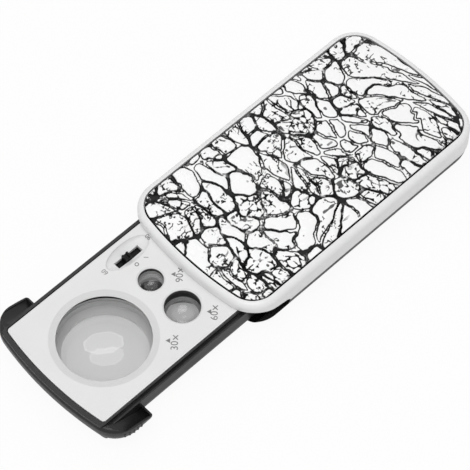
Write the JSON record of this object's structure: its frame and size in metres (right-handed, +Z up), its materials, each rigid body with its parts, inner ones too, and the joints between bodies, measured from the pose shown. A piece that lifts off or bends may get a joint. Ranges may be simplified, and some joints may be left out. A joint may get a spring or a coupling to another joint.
{
  "type": "pocket loupe",
  "caption": "Flat pocket loupe: a tray with one large and two small lenses, lamps and a switch pulls out of a rounded two-part sleeve with an inlaid panel.",
  "frame": {"origin": "middle of the flat underside of the sleeve's box with the tray pulled out, centre of the whole part's length and width, on the surface it rests on", "axes": "+X from the pull towards the closed end of the sleeve, +Y across, +Z up out of the lens side"},
  "size_m": [0.1215, 0.0428, 0.0132],
  "materials": {
    "cover_white": "smooth satin white moulded plastic",
    "panel_silver": "silvery crackled foil with dark cracks under a clear coat",
    "base_black": "fine-grained black moulded plastic",
    "tray_black": "satin black moulded plastic",
    "face_white": "satin white moulded plastic",
    "screw_steel": "zinc-plated steel",
    "lens_clear": "polished clear acrylic",
    "barrel_white": "white moulded plastic",
    "barrel_black": "black moulded plastic",
    "led_clear": "clear epoxy lamp",
    "led_violet": "violet tinted epoxy lamp",
    "board_green": "green solder mask",
    "switch_steel": "plated steel switch can",
    "knob_black": "black moulded plastic",
    "cell_steel": "nickel-plated steel",
    "contact_bronze": "thin phosphor bronze strip"
  },
  "bodies": {
    "sleeve": {"sleeve_cover": "cover_white", "sleeve_panel": "panel_silver", "sleeve_base": "base_black"},
    "drawer": {"drawer_tray": "tray_black", "faceplate": "face_white", "faceplate_screws": "screw_steel", "lens_30x": "lens_clear", "lens_60x": "lens_clear", "lens_90x": "lens_clear", "barrel_30x": "barrel_white", "lens_ring_30x": "barrel_white", "barrel_60x": "barrel_black", "barrel_90x": "barrel_black", "led_60x": "led_clear", "led_90x": "led_clear", "uv_led": "led_violet", "circuit_board": "board_green", "switch_case": "switch_steel", "cell_1": "cell_steel", "cell_2": "cell_steel", "cell_3": "cell_steel", "contact_negative": "contact_bronze", "contact_bridge_1": "contact_bronze", "contact_bridge_2": "contact_bronze", "contact_positive": "contact_bronze"},
    "switch_knob": {"switch_knob": "knob_black"},
    "battery_door": {"battery_door": "base_black"}
  },
  "joints": [
    {"name": "drawer_slide", "type": "slide", "parent": "sleeve", "child": "drawer", "axis": [1, 0, 0], "range_m": [0, 0.0412]},
    {"name": "switch_slide", "type": "slide", "parent": "drawer", "child": "switch_knob", "axis": [1, 0, 0], "range_m": [-0.002, 0.002]},
    {"name": "battery_door_slide", "type": "slide", "parent": "sleeve", "child": "battery_door", "axis": [-1, 0, 0], "range_m": [0, 0.0034]}
  ]
}
